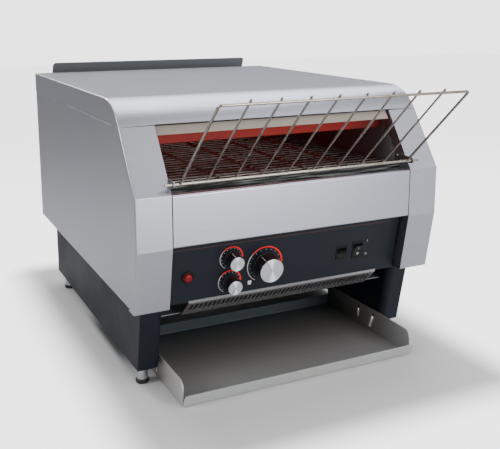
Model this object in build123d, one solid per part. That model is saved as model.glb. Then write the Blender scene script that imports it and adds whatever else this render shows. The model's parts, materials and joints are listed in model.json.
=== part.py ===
from build123d import *
import os
from math import atan2, cos, degrees, pi, radians, sin, tan

# Conveyor toaster. Millimetres: x to the right, y from front to back, z up from the counter.
# y = 0 is the upright front face while modelling; save() moves the origin under the middle.

# casing
sheet = 1.5                # casing sheet thickness
thin_sheet = 1.2
bend_radius = 2.0          # outside radius of a folded casing edge
half_width = 260.5
casing_top = 438.5
cover_back = 642.0
side_back = 640.0
seam_z = 402.0             # seam between top cover and side panels
seam_y = 64.4              # front end of that seam
seam_gap = 0.4
roll_radius = 84.0         # rolled front edge of the top cover
knee_high = 311.5          # upright front face runs between the two knees
knee_low = 233.5
side_bottom = 137.0
low_setback = 18.0         # the lower front face leans back this far at its foot
mouth_half = 206.2         # inner edge of the front columns
mouth_relief = 1.2         # the cover's edge is cut back this much over the mouth
return_depth = 26.0        # in-turned edge of the columns, along y
hem_width = 14.0
side_hem_lift = 4.0        # the side's lower edge sits above the column's foot
wrap_width = 17.0          # column sheet folded round onto the side

# intake grille: one row of tall slots over a row of short ones
grille_half = 169.0
grille_slots = 43
grille_pitch = 7.6
slot_width = 4.6
slot_rows = ((4.0, 21.0), (-12.5, 5.0))   # middle up the slope, and length

# control panel, set back between the columns and leaning with the lower face
lean = atan2(low_setback, knee_low - side_bottom)
panel_y = 30.1
panel_z = 181.5
panel_half = 204.8
panel_low = -47.8
panel_high = 51.0
panel_plane = Plane(origin=(0, panel_y, panel_z), x_dir=(1, 0, 0), z_dir=(0, -cos(lean), -sin(lean)))
speed_at = (-44.0, -2.0)
top_heat_at = (-102.5, 17.3)
bottom_heat_at = (-102.5, -22.9)
button_at = (-172.7, -4.7)
standby_at = (97.0, -3.8)
power_at = (127.8, -3.2)
standby_size = (21.5, 24.0)
power_size = (21.0, 30.5)
switch_recess = 3.0        # rocker pivot below the panel face
rocker_tilt = 10.0
bush_radius = 4.7
spindle_radius = 3.0
running = 0.05             # radial clearance of a running fit
button_radius = 7.2
button_clear = 0.4

# base and feet
base_half = 241.8
base_inner = 205.5
base_bottom = 26.0
base_top = 137.7
base_back = 597.0
base_front_low = 67.5
base_front_high = 43.6
leg_round = 12.0
foot_x = 229.5
foot_rows = (84.0, 552.0)
barrel_radius = 8.7
tip_radius = 10.4
tip_height = 7.0
stud_radius = 4.0

# inner frame, oven and conveyor
wall_inner = 208.2         # inner face of the frame walls
wall_back = 632.0
wall_top = 398.0
front_shaft = (52.0, 298.0)
rear_shaft = (530.0, 298.0)
shaft_radius = 6.0
belt_inner = 20.0
link_thick = 0.9
link_wide = 3.0
rod_thick = 1.6
rod_width = 2.2
belt_half = 196.0
belt_rods = 60
link_rows = (-190.0, -114.0, -38.0, 38.0, 114.0, 190.0)
wheel_rows = (-152.0, -76.0, 0.0, 76.0, 152.0)
guard_gap = 1.6            # nose guard: clear of the belt, and its reach in degrees
guard_below = 30.0
guard_above = 45.0
wheel_radius = 19.6
wheel_teeth = 12
element_radius = 3.6
upper_elements_y = [104.0 + 84.0 * i for i in range(6)]
lower_elements_y = [125.0 + 68.0 * i for i in range(6)]
upper_element_z = 372.0
lower_element_z = 305.0
element_half = 216.0
chute_slope_end = (182.0, 68.5)
chute_knee = (598.0, 228.0)

# wire feed rack
pivot_y = -3.6
pivot_z = 327.5
rack_angle = 42.6          # above the horizontal
rack_length = 183.5
rack_half = 195.0
rack_wires = 10
frame_wire = 2.0           # radius of the rack's outer wire
inner_wire = 1.6
weld_sink = 0.15           # how far the inner wires sink into the wires they are welded on
wire_overrun = 4.0         # their ends stand out beyond the outer wire
rack_corner = 4.5
pivot_radius = 2.3
pivot_half = 218.0
bracket_inner = 203.7

# toast pan
pan_half = 203.2
pan_front = -20.0
pan_back = 235.0
pan_wall = 41.0
lip_run = 10.0
lip_rise = 21.0

# rear
deflector_half = 221.0
deflector_back = 661.0
deflector_top = 458.5
panel_back = 638.5         # outer face of the rear panel
gland_at = (180.0, 168.0)
fan_at = (60.0, 120.5, 204.5)

rack_front = pivot_y - rack_length * cos(radians(rack_angle)) - frame_wire
middle_y = (rack_front + deflector_back + sheet / 2) / 2


def save(name, shape):
    solids = [Pos(0, -middle_y, 0) * solid for solid in shape.solids()]
    export_step(solids[0] if len(solids) == 1 else Compound(solids), f"parts/{name}.step")


def slab(points, x_from, x_to):
    """A flat outline in the y-z plane, given thickness along x."""
    section = Plane.YZ * Polygon(*points, align=None)
    return extrude(Pos(x_from, 0, 0) * section, amount=x_to - x_from, dir=(1, 0, 0))


def bent_sheet(path, radius, x_from, x_to, thickness=sheet):
    """Folded sheet: its middle line in the y-z plane, drawn out along x."""
    section = trace(FilletPolyline(*path, radius=radius), thickness)
    return extrude(Pos(x_from, 0, 0) * (Plane.YZ * section), amount=x_to - x_from, dir=(1, 0, 0))


def shifted(points, dy):
    return [(y + dy, z) for y, z in points]


def both_sides(shapes):
    """The shapes and their mirror images, as one group of separate solids."""
    return Compound(children=shapes + [mirror(shape, about=Plane.YZ) for shape in shapes])


def x_rod(y, z, radius, x_from, x_to):
    return Pos((x_from + x_to) / 2, y, z) * Rot(0, 90, 0) * Cylinder(radius, x_to - x_from)


def on_panel(at, depth=0.0):
    """Place on the panel face, z outwards, starting at a depth along it."""
    return panel_plane * Pos(at[0], at[1], depth)


def disc(radius, low, high):
    return Pos(0, 0, (low + high) / 2) * Cylinder(radius, high - low)


def block(width, height, low, high):
    return Pos(0, 0, (low + high) / 2) * Box(width, height, high - low)


# ---- casing ----

def top_cover():
    run = seam_y * (casing_top - seam_z) / (seam_z - knee_high)
    corner = (seam_y + run, casing_top)
    roll = FilletPolyline((seam_y, seam_z), corner, (cover_back, casing_top), radius=roll_radius)
    rest = Polyline((cover_back, casing_top), (cover_back, seam_z), (seam_y, seam_z))
    body = extrude(Plane.YZ * make_face(roll.edges() + rest.edges()), amount=half_width, both=True)
    folds = body.edges().filter_by(lambda e: abs(abs(e.center().X) - half_width) < 0.1
                                   and e.center().Z > seam_z + 0.1 and e.center().Y < cover_back - 0.1)
    body = fillet(folds, bend_radius)
    body = offset(body, -sheet, openings=body.faces().sort_by(Axis.Z)[0], kind=Kind.INTERSECTION)
    return body - Pos(0, seam_y, seam_z) * Box(2 * mouth_half, 20, 2 * mouth_relief)


def front_line():
    """The three faces of a front column, from its foot to the seam."""
    top_z = seam_z - seam_gap
    top_y = seam_y * (top_z - knee_high) / (seam_z - knee_high)
    return [(low_setback, side_bottom), (0, knee_low), (0, knee_high), (top_y, top_z)]


def on_front(point):
    """True for a point on one of the column's three front faces."""
    line = front_line()
    for (y0, z0), (y1, z1) in zip(line, line[1:]):
        if z0 - 0.05 <= point.Z <= z1 + 0.05:
            return abs(point.Y - (y0 + (y1 - y0) * (point.Z - z0) / (z1 - z0))) < 0.05
    return False


def side_panel():
    line = front_line()
    top_z = line[-1][1]
    hem_z = side_bottom + side_hem_lift
    wrap_y = low_setback + wrap_width
    outline = line + [(side_back, top_z), (side_back, hem_z), (wrap_y, hem_z), (wrap_y, side_bottom)]
    plate = slab(outline, half_width - sheet, half_width)
    column = slab(line + shifted(line, sheet)[::-1], mouth_half, half_width)
    inturn = slab(line + shifted(line, return_depth)[::-1], mouth_half, mouth_half + sheet)
    foot_z = side_bottom + sheet
    foot = slab([(low_setback, side_bottom), (42, side_bottom), (42, foot_z), (low_setback, foot_z)],
                mouth_half, half_width)
    hem = slab([(60, hem_z), (side_back, hem_z), (side_back, hem_z + sheet), (60, hem_z + sheet)],
               half_width - hem_width, half_width)
    back = slab([(panel_back, hem_z), (side_back, hem_z), (side_back, top_z), (panel_back, top_z)],
                half_width - hem_width, half_width)
    joggle = slab([(120, seam_z - 14), (630, seam_z - 14), (630, seam_z + 10), (120, seam_z + 10)],
                  half_width - 2 * sheet - 0.2, half_width - sheet)
    body = plate + column + inturn + foot + hem + back + joggle
    front_edges = body.edges().filter_by(lambda e: abs(e.center().X - half_width) < 0.05
                                         and on_front(e @ 0) and on_front(e @ 1))
    return fillet(front_edges, bend_radius)


def front_panel():
    mid = sheet / 2
    top = knee_high - 0.3 - mid
    foot = knee_low + 0.3 + mid
    path = [(13, top), (mid, top), (mid, foot), (21, foot)]
    return bent_sheet(path, 2.0, -205.0, 205.0)


def control_panel():
    height = panel_high - panel_low
    plate = Pos(0, (panel_low + panel_high) / 2, -sheet / 2) * Box(2 * panel_half, height, sheet)
    flange = Pos(0, panel_low + sheet / 2, -8) * Box(2 * panel_half, sheet, 16)
    body = plate + flange
    for at in (speed_at, top_heat_at, bottom_heat_at):
        body -= Pos(*at, 0) * Cylinder(bush_radius + 0.3, 6)
    body -= Pos(*button_at, 0) * Cylinder(8.8, 6)
    for at, size in ((standby_at, standby_size), (power_at, power_size)):
        body -= Pos(*at, 0) * Box(size[0] - 2.7, size[1] - 3.7, 6)
    return panel_plane * body


def intake_grille():
    lip_y = panel_y + (panel_z - 137.5) * tan(lean) - 0.3 - thin_sheet / 2
    slope_top = (lip_y + 1.2, 132.6)
    slope_low = (70.0, 104.0)
    path = [(lip_y, 137.5), slope_top, slope_low, (82.0, 104.0)]
    body = bent_sheet(path, 1.5, -grille_half, grille_half, thin_sheet)
    slope = atan2(slope_top[1] - slope_low[1], slope_low[0] - slope_top[0])
    centre = ((slope_top[0] + slope_low[0]) / 2, (slope_top[1] + slope_low[1]) / 2)
    face = Plane(origin=(0, *centre), x_dir=(1, 0, 0), z_dir=(0, -sin(slope), -cos(slope)))
    columns = [(i - (grille_slots - 1) / 2) * grille_pitch for i in range(grille_slots)]
    slots = [Pos(x, y, 0) * Box(slot_width, length, 6) for x in columns for y, length in slot_rows]
    return body - face * Compound(children=slots)


def rear_panel():
    body = Box(2 * (half_width - 2.2), sheet, 436.5 - 143.0)
    body = Pos(0, panel_back - sheet / 2, (436.5 + 143.0) / 2) * body
    exhaust = [Pos(x, panel_back, z) * Box(56, 8, 5) for x in (-165, -99, -33, 33, 99, 165)
               for z in (358, 370, 382)]
    intake = [Pos(x, panel_back, z) * Box(5, 8, 46) for x in range(-184, -60, 12) for z in (190, 250)]
    gland = Pos(gland_at[0], panel_back, gland_at[1]) * Rot(90, 0, 0) * Cylinder(9.8, 8)
    return body - Compound(children=exhaust + intake + [gland])


def rear_deflector():
    path = [(panel_back + sheet / 2, 326), (panel_back + sheet / 2, 340), (deflector_back, 353),
            (deflector_back, 438), (deflector_back - 9.5, deflector_top - 0.7)]
    body = bent_sheet(path, 4.0, -deflector_half, deflector_half)
    outline = Pos(0, 0, (deflector_top + 310) / 2) * Rot(90, 0, 0) * RectangleRounded(
        2 * deflector_half, deflector_top - 310, 8.0)
    return body & extrude(Pos(0, 700, 0) * outline, amount=100)


def cord_gland():
    hexagon = extrude(RegularPolygon(14.5, 6), amount=6)
    nut = Pos(0, 0, -sheet - 5) * extrude(RegularPolygon(13.5, 6), amount=5)
    dome = Pos(0, 0, 6) * Cone(12.0, 9.0, 8, align=(Align.CENTER, Align.CENTER, Align.MIN))
    body = hexagon + nut + dome + disc(9.5, -12, 6) - Cylinder(5.5, 60)
    return Pos(gland_at[0], panel_back, gland_at[1]) * Rot(-90, 0, 0) * body


# ---- base and feet ----

def base_side():
    outline = [(base_front_low, base_bottom), (base_back, base_bottom),
               (base_back, base_top), (base_front_high, base_top)]
    body = slab(outline, base_inner, base_half)
    corner = body.edges().filter_by(lambda e: abs(e.center().X - base_inner) < 0.1).sort_by(Axis.Y)[0]
    body = fillet(corner, leg_round)
    fold = body.edges().filter_by(lambda e: abs(e.center().X - base_half) < 0.1).sort_by(Axis.Y)[0]
    body = fillet(fold, bend_radius)
    body = offset(body, -sheet, openings=body.faces().sort_by(Axis.Z)[-1], kind=Kind.INTERSECTION)
    for y in foot_rows:
        body -= Pos(foot_x, y, base_bottom) * Cylinder(stud_radius + 0.3, 8)
    return body


def base_rear():
    mid = base_back - 7
    foot, top = base_bottom + 3, base_top - 2
    path = [(mid - 14, foot), (mid, foot), (mid, top), (mid - 14, top)]
    return bent_sheet(path, 2.0, -base_inner, base_inner)


def foot_barrel():
    body = disc(barrel_radius, tip_height - 3, base_bottom) + disc(stud_radius, base_bottom, base_bottom + 13)
    return chamfer(body.edges().sort_by(Axis.Z)[-1], 0.8)


def foot_tip():
    body = disc(tip_radius, 0, tip_height)
    body = fillet(body.edges().sort_by(Axis.Z)[0], 2.6)
    body = fillet(body.edges().sort_by(Axis.Z)[-1], 1.2)
    return body - disc(barrel_radius, tip_height - 3, tip_height + 1)


# ---- frame and oven ----

def frame_wall():
    outline = [(23, 141.0), (5, knee_low), (5, knee_high), (66.5, wall_top),
               (wall_back, wall_top), (wall_back, 141.0)]
    body = slab(outline, wall_inner, wall_inner + sheet)
    body += slab([(60, 137.7), (590, 137.7), (590, 141.0), (60, 141.0)], wall_inner, wall_inner + sheet)
    body += slab([(60, 137.7), (590, 137.7), (590, 139.2), (60, 139.2)], wall_inner, base_half)
    for y, z in (front_shaft, rear_shaft):
        body -= x_rod(y, z, 9.0, 200, 220)
    for y in upper_elements_y:
        body -= x_rod(y, upper_element_z, element_radius + 0.4, 200, 220)
    for y in lower_elements_y:
        body -= x_rod(y, lower_element_z, element_radius + 0.4, 200, 220)
    return body


def mouth_trim():
    top = wall_top + sheet + thin_sheet / 2
    path = [(61.6, 387.6), (70.6, top), (86.0, top)]
    return bent_sheet(path, 2.0, -203.5, 203.5, thin_sheet)


def oven_ceiling():
    """Sheet on the frame walls, its front tongue between the in-turned edges of the columns."""
    back = Pos(0, (92 + 600) / 2, wall_top + sheet / 2) * Box(2 * (wall_inner + 2.5), 600 - 92, sheet)
    tongue = Pos(0, (74 + 92) / 2, wall_top + sheet / 2) * Box(2 * (mouth_half - 1.0), 92 - 74, sheet)
    return back + tongue


def upper_reflector():
    top = wall_top - sheet / 2
    path = [(84, 371), (84, top), (566, top), (566, 380)]
    return bent_sheet(path, 4.0, -202.0, 202.0)


def lower_reflector():
    path = [(104, 300), (104, 288), (486, 288), (486, 300)]
    return bent_sheet(path, 4.0, -wall_inner, wall_inner)


def heating_elements(rows, z):
    return Compound(children=[x_rod(y, z, element_radius, -element_half, element_half) for y in rows])


def oven_floor():
    return Pos(0, (27 + 528) / 2, 264.75) * Box(2 * wall_inner, 501, sheet)


def top_insulation():
    return Pos(0, 357.5, wall_top + sheet + 13) * Box(400, 475, 26)


def rear_chute():
    path = [(596, 396.5), (630, 362), (630, 262), chute_knee, chute_slope_end, (174, 60)]
    return bent_sheet(path, 9.0, -base_inner, base_inner)


def compartment_floor():
    path = [(74, 105.35), (118, 105.35), (522, 260.2)]
    return bent_sheet(path, 12.0, -base_inner, base_inner)


# ---- conveyor ----

def loop_places(count, radius):
    """Evenly spaced places round the belt loop, as (y, z, angle about x)."""
    run = rear_shaft[0] - front_shaft[0]
    length = 2 * run + 2 * pi * radius
    places = []
    for i in range(count):
        s = length * i / count
        if s < run:
            places.append((front_shaft[0] + s, front_shaft[1] + radius, 0))
        elif s < run + pi * radius:
            a = (s - run) / radius
            places.append((rear_shaft[0] + radius * sin(a), rear_shaft[1] + radius * cos(a), -degrees(a)))
        elif s < 2 * run + pi * radius:
            places.append((rear_shaft[0] - (s - run - pi * radius), rear_shaft[1] - radius, 180))
        else:
            a = (s - 2 * run - pi * radius) / radius
            y = front_shaft[0] - radius * sin(a)
            places.append((y, front_shaft[1] - radius * cos(a), 180 - degrees(a)))
    return places


def link_runs():
    """One row of belt links: upper and lower straight run and the two ends round the shafts."""
    length = rear_shaft[0] - front_shaft[0]
    radius = belt_inner + link_thick
    middle = (front_shaft[0] + rear_shaft[0]) / 2
    straight = Box(link_wide, length, link_thick)
    ring = Rot(0, 90, 0) * (Cylinder(radius, link_wide) - Cylinder(belt_inner, link_wide))
    front_end = ring & Pos(0, -radius, 0) * Box(link_wide, 2 * radius, 3 * radius)
    rear_end = ring & Pos(0, radius, 0) * Box(link_wide, 2 * radius, 3 * radius)
    return [Pos(0, middle, front_shaft[1] + belt_inner + link_thick / 2) * straight,
            Pos(0, middle, front_shaft[1] - belt_inner - link_thick / 2) * straight,
            Pos(0, *front_shaft) * front_end, Pos(0, *rear_shaft) * rear_end]


def conveyor_belt():
    links = [Pos(x, 0, 0) * run for x in link_rows for run in link_runs()]
    rods = [Pos(0, y, z) * Rot(a, 0, 0) * Box(2 * belt_half, rod_width, rod_thick)
            for y, z, a in loop_places(belt_rods, belt_inner + link_thick + rod_thick / 2)]
    return Compound(children=links + rods)


def belt_nose_guard():
    """Curved guard in front of the belt's turn, from frame wall to frame wall."""
    inner = belt_inner + link_thick + rod_thick + guard_gap
    ring = Circle(inner + thin_sheet) - Circle(inner)
    reach = 2 * inner
    wedge = Polygon((0, 0), (-reach, -reach * tan(radians(guard_below))), (-reach, reach),
                    (-reach / tan(radians(guard_above)), reach), align=None)
    guard = Plane.YZ * (ring & wedge)
    return Pos(-wall_inner, *front_shaft) * extrude(guard, amount=2 * wall_inner, dir=(1, 0, 0))


def belt_wheel():
    """Toothed wheel that carries the belt: shallow round gaps between its teeth."""
    body = Cylinder(wheel_radius, 6)
    for place in PolarLocations(wheel_radius + 1.2, wheel_teeth):
        body -= place * Cylinder(3.6, 8)
    return Rot(0, 90, 0) * (body - Cylinder(shaft_radius + running, 8))


def wheel_set(shaft):
    return Compound(children=[Pos(x, *shaft) * belt_wheel() for x in wheel_rows])


def shaft_rod(shaft, right_end):
    body = x_rod(*shaft, shaft_radius, -216.0, right_end)
    return chamfer(body.edges().filter_by(GeomType.CIRCLE), 0.8)


def shaft_bearing():
    sleeve = x_rod(0, 0, 8.9, wall_inner - 3, wall_inner + sheet + 1.2)
    flange = x_rod(0, 0, 13.0, wall_inner - 3, wall_inner)
    return sleeve + flange - x_rod(0, 0, shaft_radius + running, 190, 230)


def drive_gearbox():
    y, z = rear_shaft
    foot_x0 = wall_inner + sheet
    plate = Pos(foot_x0 + 1, y, z) * Box(2, 74, 72)
    case = Pos(foot_x0 + 20, y, z) * Box(36, 60, 60)
    case = fillet(case.edges().filter_by(Axis.X), 6)
    body = plate + case
    body -= x_rod(y, z, 10.0, foot_x0 - 1, foot_x0 + 2)
    return body - x_rod(y, z, shaft_radius + running, foot_x0, 240)


def drive_motor():
    y, z = rear_shaft
    can = disc(19, -94, 0)
    can = fillet(can.edges().sort_by(Axis.Z)[0], 4)
    return Pos(wall_inner + sheet + 22, y, z - 30) * (can + disc(7, -98, -92))


# ---- feed rack ----

rack_plane = Plane(origin=(0, pivot_y, pivot_z), x_dir=(1, 0, 0),
                   z_dir=(0, sin(radians(rack_angle)), cos(radians(rack_angle))))


def feed_rack():
    """Welded wire rack: a bent outer wire, straight wires laid on it, and the pivot rod."""
    up = -rack_length
    corners = [(-rack_half, 0), (-rack_half, up), (rack_half, up), (rack_half, 0)]
    frame_line = FilletPolyline(*corners, radius=rack_corner)
    body = sweep(Plane(origin=frame_line @ 0, z_dir=frame_line % 0) * Circle(frame_wire), path=frame_line)
    step = 2 * rack_half / (rack_wires - 1)
    low, high = pivot_radius, up - wire_overrun
    wire = Rot(90, 0, 0) * Cylinder(inner_wire, low - high)
    wire = Pos(0, (low + high) / 2, frame_wire + inner_wire - weld_sink) * wire
    for i in range(1, rack_wires - 1):
        body += Pos(-rack_half + i * step, 0, 0) * wire
    body += Rot(0, 90, 0) * Cylinder(pivot_radius, 2 * pivot_half)
    return rack_plane * body


def rack_bracket():
    """Strap on the column's inner edge, ending in a round eye for the rack's rod."""
    eye = 4.6
    outline = [(40, 319.5), (40, 334), (pivot_y, pivot_z + eye), (pivot_y, pivot_z - eye)]
    body = slab(outline, bracket_inner, mouth_half) + x_rod(pivot_y, pivot_z, eye, bracket_inner, mouth_half)
    return body - x_rod(pivot_y, pivot_z, pivot_radius + running, 200, 210)


# ---- toast pan ----

def toast_pan():
    """Folded tray with a leaning front lip, and two walls with a grip slot and a stop slot each."""
    mid = sheet / 2
    path = [(pan_front - lip_run, lip_rise), (pan_front, mid), (pan_back, mid), (pan_back, 20)]
    tray = bent_sheet(path, 2.5, -pan_half, pan_half)
    lip_corners = tray.edges().filter_by(lambda e: abs(e.length - sheet) < 0.01
                                         and e.center().Y < pan_front - 5)
    tray = fillet(lip_corners, 6.0)
    wall_line = FilletPolyline((pan_front, mid), (pan_front, pan_wall), (pan_back, pan_wall), (pan_back, mid),
                               radius=14.0)
    foot_line = Line(wall_line @ 1, wall_line @ 0)
    wall = extrude(Plane.YZ * make_face(wall_line.edges() + foot_line.edges()), amount=sheet, dir=(1, 0, 0))
    for y, z, height, width, tilt in ((130.0, 24.0, 25.0, 5.5, 0.0), (88.5, 20.0, 30.0, 6.5, 20.0)):
        slot = extrude(SlotOverall(height, width), amount=20, both=True)
        wall -= Pos(0, y, z) * Rot(tilt, 0, 0) * Rot(0, 90, 0) * slot
    return tray + Pos(pan_half - sheet, 0, 0) * wall + Pos(-pan_half, 0, 0) * wall


# ---- controls ----

def knob_body(radius, skirt, height):
    """Fluted knob with a skirt, bored for its spindle."""
    profile = Polyline((0, 0.8), (skirt, 0.8), (skirt, 2.8), (radius, 5.2), (radius, height - 1.6),
                       (0, height - 1.6), (0, 0.8))
    body = revolve(Plane.XZ * make_face(profile), Axis.Z)
    flutes = 2 * round(radius * 0.5 + 4)
    for place in PolarLocations(radius + 0.7, flutes):
        body -= place * (Pos(0, 0, 14.5) * Cylinder(1.3, 18.6))
    return body - disc(spindle_radius + running, 0, 17)


def knob_cap(radius, height):
    return chamfer(disc(radius - 0.2, height - 1.6, height).edges().sort_by(Axis.Z)[-1], 0.5)


def spindle():
    return disc(spindle_radius, -12.5, 16)


def potentiometer():
    body = disc(12, -14, -sheet) + disc(bush_radius, -sheet, 0.5)
    body += Pos(0, -12, -6) * Box(14, 8, 2)
    return body - disc(spindle_radius + running, -13, 1)


def button_bezel():
    body = disc(10, 0, 2.2) + disc(8.5, -17, 0) + disc(11, -sheet - 3, -sheet)
    body = chamfer(body.edges().sort_by(Axis.Z)[-1], 0.6)
    return body - disc(button_radius + button_clear, -15, 5)


def push_button():
    body = disc(button_radius, -11, 5.6)
    return fillet(body.edges().sort_by(Axis.Z)[-1], 4.2)


def rocker_housing(size):
    width, height = size
    body = block(width, height, 0, 1.3)
    body = chamfer(body.faces().sort_by(Axis.Z)[-1].edges(), 0.5)
    body += block(width - 3, height - 4, -17, 0)
    body -= block(width - 6, height - 7, -12, 3)
    return body - Pos(0, 0, -switch_recess) * Rot(0, 90, 0) * Cylinder(1.25, width - 2.0)


def rocker(size):
    """Rocker cap with a dished face, on its two stub pins."""
    width, height = size
    half = (height - 7) / 2 - 1.6
    outline = [(-half, 3.4), (0, 1.3), (half, 3.4), (half, -2.0), (half * 0.45, -6.5),
               (-half * 0.45, -6.5), (-half, -2.0)]
    body = extrude(Plane.YZ * Polygon(*outline, align=None), amount=(width - 6.6) / 2, both=True)
    body += Pos(0, 0, -switch_recess) * Rot(0, 90, 0) * Cylinder(1.2, width - 4.0)
    return Pos(0, 0, -switch_recess) * Rot(rocker_tilt, 0, 0) * Pos(0, 0, switch_recess) * body


# ---- services inside ----

def fan_frame():
    body = Box(119, 119, 25) - Cylinder(56.5, 30)
    body = fillet(body.edges().filter_by(Axis.Z).filter_by(lambda e: e.length > 20), 5)
    strut = Pos(0, 0, 10.5) * Box(118, 6, 4)
    body += Rot(0, 0, 45) * strut + Rot(0, 0, -45) * strut + disc(18, 8.5, 12.5)
    for place in GridLocations(105, 105, 2, 2):
        body -= place * Cylinder(2.2, 30)
    body -= Cylinder(2 + running, 30)
    return Pos(*fan_at) * Rot(-90, 0, 0) * body


def fan_rotor():
    body = disc(19, -11, 7)
    for place in PolarLocations(0, 7):
        body += place * Pos(35, 0, -2) * Rot(38, 0, 0) * Box(36, 20, 1.6)
    body += disc(2, 0, 12)
    return Pos(*fan_at) * Rot(-90, 0, 0) * body


def power_contactor():
    body = Box(46, 60, 50)
    for y in (-18, 0, 18):
        body -= Pos(0, y, 22) * Box(40, 10, 8)
    return Pos(-wall_inner + 23, 210, 215) * body


def terminal_block():
    body = Box(24, 70, 20)
    for y in (-26, -13, 0, 13, 26):
        body -= Pos(-6, y, 6) * Box(12, 9, 10)
    return Pos(wall_inner - 12, 230, 225) * body


def control_board():
    board = Pos(0, 0, -6.8) * Box(110, 80, 1.6)
    posts = [Pos(x, y, -3) * Cylinder(3, 6) for x in (-48, 48) for y in (-33, 33)]
    chip_sizes = ((-30, 10, 22, 18), (5, -15, 14, 10), (30, 12, 26, 8))
    chips = [Pos(x, y, -7.6 - h / 2) * Box(w, w, h) for x, y, w, h in chip_sizes]
    return Pos(-70, 330, 264) * (board + posts + chips)


os.makedirs("parts", exist_ok=True)

save("top_cover", top_cover())
save("front_panel", front_panel())
save("control_panel", control_panel())
save("intake_grille", intake_grille())
save("rear_panel", rear_panel())
save("rear_deflector", rear_deflector())
save("cord_gland", cord_gland())
save("base_rear", base_rear())
save("mouth_trim", mouth_trim())
save("oven_ceiling", oven_ceiling())
save("upper_reflector", upper_reflector())
save("lower_reflector", lower_reflector())
save("foot_barrels", both_sides([Pos(foot_x, y, 0) * foot_barrel() for y in foot_rows]))
save("foot_tips", both_sides([Pos(foot_x, y, 0) * foot_tip() for y in foot_rows]))
save("shaft_bearings", both_sides([Pos(0, *shaft) * shaft_bearing() for shaft in (front_shaft, rear_shaft)]))
save("upper_heating_elements", heating_elements(upper_elements_y, upper_element_z))
save("lower_heating_elements", heating_elements(lower_elements_y, lower_element_z))
save("oven_floor", oven_floor())
save("top_insulation", top_insulation())
save("rear_chute", rear_chute())
save("compartment_floor", compartment_floor())
save("conveyor_belt", conveyor_belt())
save("belt_nose_guard", belt_nose_guard())
save("front_shaft", shaft_rod(front_shaft, 216.0))
save("rear_shaft", shaft_rod(rear_shaft, 238.0))
save("front_belt_wheels", wheel_set(front_shaft))
save("rear_belt_wheels", wheel_set(rear_shaft))
save("drive_gearbox", drive_gearbox())
save("drive_motor", drive_motor())
save("feed_rack", feed_rack())
save("toast_pan", toast_pan())
save("fan_frame", fan_frame())
save("fan_rotor", fan_rotor())
save("power_contactor", power_contactor())
save("terminal_block", terminal_block())
save("control_board", control_board())

for side, flip in (("right", False), ("left", True)):
    for name, shape in (("side_panel", side_panel()), ("base_side", base_side()),
                        ("frame_wall", frame_wall()), ("rack_bracket", rack_bracket())):
        save(f"{side}_{name}", mirror(shape, about=Plane.YZ) if flip else shape)

for name, at, radius, skirt, height in (("speed", speed_at, 19.7, 21.4, 25.0),
                                        ("top_heat", top_heat_at, 11.6, 13.2, 22.5),
                                        ("bottom_heat", bottom_heat_at, 11.6, 13.2, 22.5)):
    save(f"{name}_knob", on_panel(at) * knob_body(radius, skirt, height))
    save(f"{name}_knob_cap", on_panel(at) * knob_cap(radius, height))
    save(f"{name}_spindle", on_panel(at) * spindle())

for name, at, size in (("standby", standby_at, standby_size), ("power", power_at, power_size)):
    save(f"{name}_switch_housing", on_panel(at) * rocker_housing(size))
    save(f"{name}_rocker", on_panel(at) * rocker(size))

save("potentiometers", Compound(children=[on_panel(at) * potentiometer()
                                          for at in (speed_at, top_heat_at, bottom_heat_at)]))
save("reset_button_bezel", on_panel(button_at) * button_bezel())
save("reset_button", on_panel(button_at) * push_button())
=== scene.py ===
import bpy
import bmesh
import json
from math import cos, pi, radians, sin
from mathutils import Matrix, Vector

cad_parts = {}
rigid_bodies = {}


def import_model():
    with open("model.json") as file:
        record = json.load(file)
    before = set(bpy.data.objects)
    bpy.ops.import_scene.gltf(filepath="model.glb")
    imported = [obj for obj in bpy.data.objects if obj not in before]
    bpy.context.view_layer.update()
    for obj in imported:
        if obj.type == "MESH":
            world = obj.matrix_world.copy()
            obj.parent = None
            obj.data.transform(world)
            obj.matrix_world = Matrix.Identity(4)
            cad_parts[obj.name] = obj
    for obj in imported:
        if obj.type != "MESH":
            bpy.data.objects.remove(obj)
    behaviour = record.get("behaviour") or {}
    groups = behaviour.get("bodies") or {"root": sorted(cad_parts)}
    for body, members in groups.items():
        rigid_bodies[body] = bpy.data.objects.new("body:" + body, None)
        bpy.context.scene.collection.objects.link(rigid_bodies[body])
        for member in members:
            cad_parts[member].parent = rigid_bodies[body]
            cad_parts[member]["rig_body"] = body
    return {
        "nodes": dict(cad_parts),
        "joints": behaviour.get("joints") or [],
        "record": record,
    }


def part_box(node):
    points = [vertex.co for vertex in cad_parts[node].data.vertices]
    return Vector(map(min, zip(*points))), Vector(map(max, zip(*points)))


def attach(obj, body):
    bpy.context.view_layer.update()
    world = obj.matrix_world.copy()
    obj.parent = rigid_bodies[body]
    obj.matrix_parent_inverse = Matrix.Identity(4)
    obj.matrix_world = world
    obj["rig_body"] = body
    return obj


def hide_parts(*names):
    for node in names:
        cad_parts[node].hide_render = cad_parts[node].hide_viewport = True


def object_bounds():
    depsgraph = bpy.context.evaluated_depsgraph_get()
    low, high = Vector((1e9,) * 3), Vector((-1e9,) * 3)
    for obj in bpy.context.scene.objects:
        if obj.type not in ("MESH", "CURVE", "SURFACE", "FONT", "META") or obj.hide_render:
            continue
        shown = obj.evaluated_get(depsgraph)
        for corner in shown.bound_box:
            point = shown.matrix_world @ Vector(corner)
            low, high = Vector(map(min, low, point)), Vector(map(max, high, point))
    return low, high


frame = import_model()
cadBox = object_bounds()
nodes = frame["nodes"]
joints = {joint["name"]: joint for joint in frame["joints"]}
slotOf = {part["node"]: part["material_slot"] for part in frame["record"]["subparts"]}
mm = 0.001
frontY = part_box("front_panel")[0].y            # the upright front face
noiseSpan = {"From Min": 0.3, "From Max": 0.7}    # the range that a noise texture mostly stays in
print("frame loaded:", len(nodes), "nodes")


# small tools

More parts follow.
